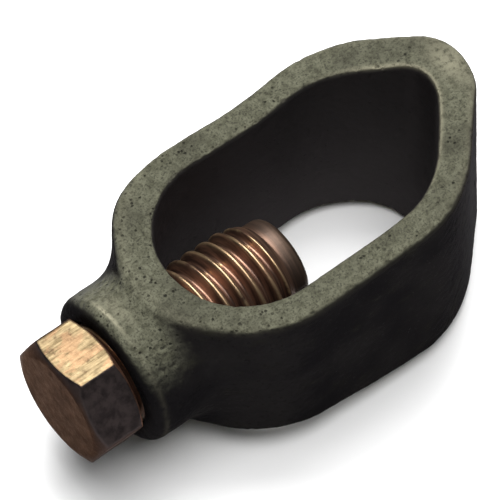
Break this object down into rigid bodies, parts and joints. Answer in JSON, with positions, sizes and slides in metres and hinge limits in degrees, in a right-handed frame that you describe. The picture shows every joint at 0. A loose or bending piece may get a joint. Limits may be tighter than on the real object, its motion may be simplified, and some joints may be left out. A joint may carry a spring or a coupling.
{
  "type": "ground rod clamp",
  "caption": "Cast bronze loop with a round threaded boss and a hex head screw that presses a conductor and a ground rod into the V seat opposite it.",
  "frame": {"origin": "middle of the overall box in plan, at the height of its lowest point, which is the lower rim at the V end", "axes": "+X along the screw from its head to the rod seat, +Y across the loop, +Z through the loop along the rod"},
  "size_m": [0.059, 0.028, 0.0271],
  "materials": {
    "cast_bronze": "sand cast, tarnished dark olive brown",
    "screw_bronze": "machined silicon bronze, brushed flats, brown patina on the thread"
  },
  "bodies": {
    "body": {"clamp_body": "cast_bronze"},
    "screw_travel": {"screw_point": "screw_bronze"},
    "screw": {"clamp_screw": "screw_bronze"}
  },
  "joints": [
    {"name": "screw_slide", "type": "slide", "parent": "body", "child": "screw_travel", "axis": [-1, 0, 0], "range_m": [0, 0.01368]},
    {"name": "screw_turn", "type": "hinge", "parent": "screw_travel", "child": "screw", "pos_m": [-0.02315, 0, 0.01353], "axis": [-1, 0, 0], "range_deg": [0, 2520]}
  ],
  "couplings": [
    {"joint": "screw_turn", "follows": "screw_slide", "rad_per_m": 3215.8}
  ]
}
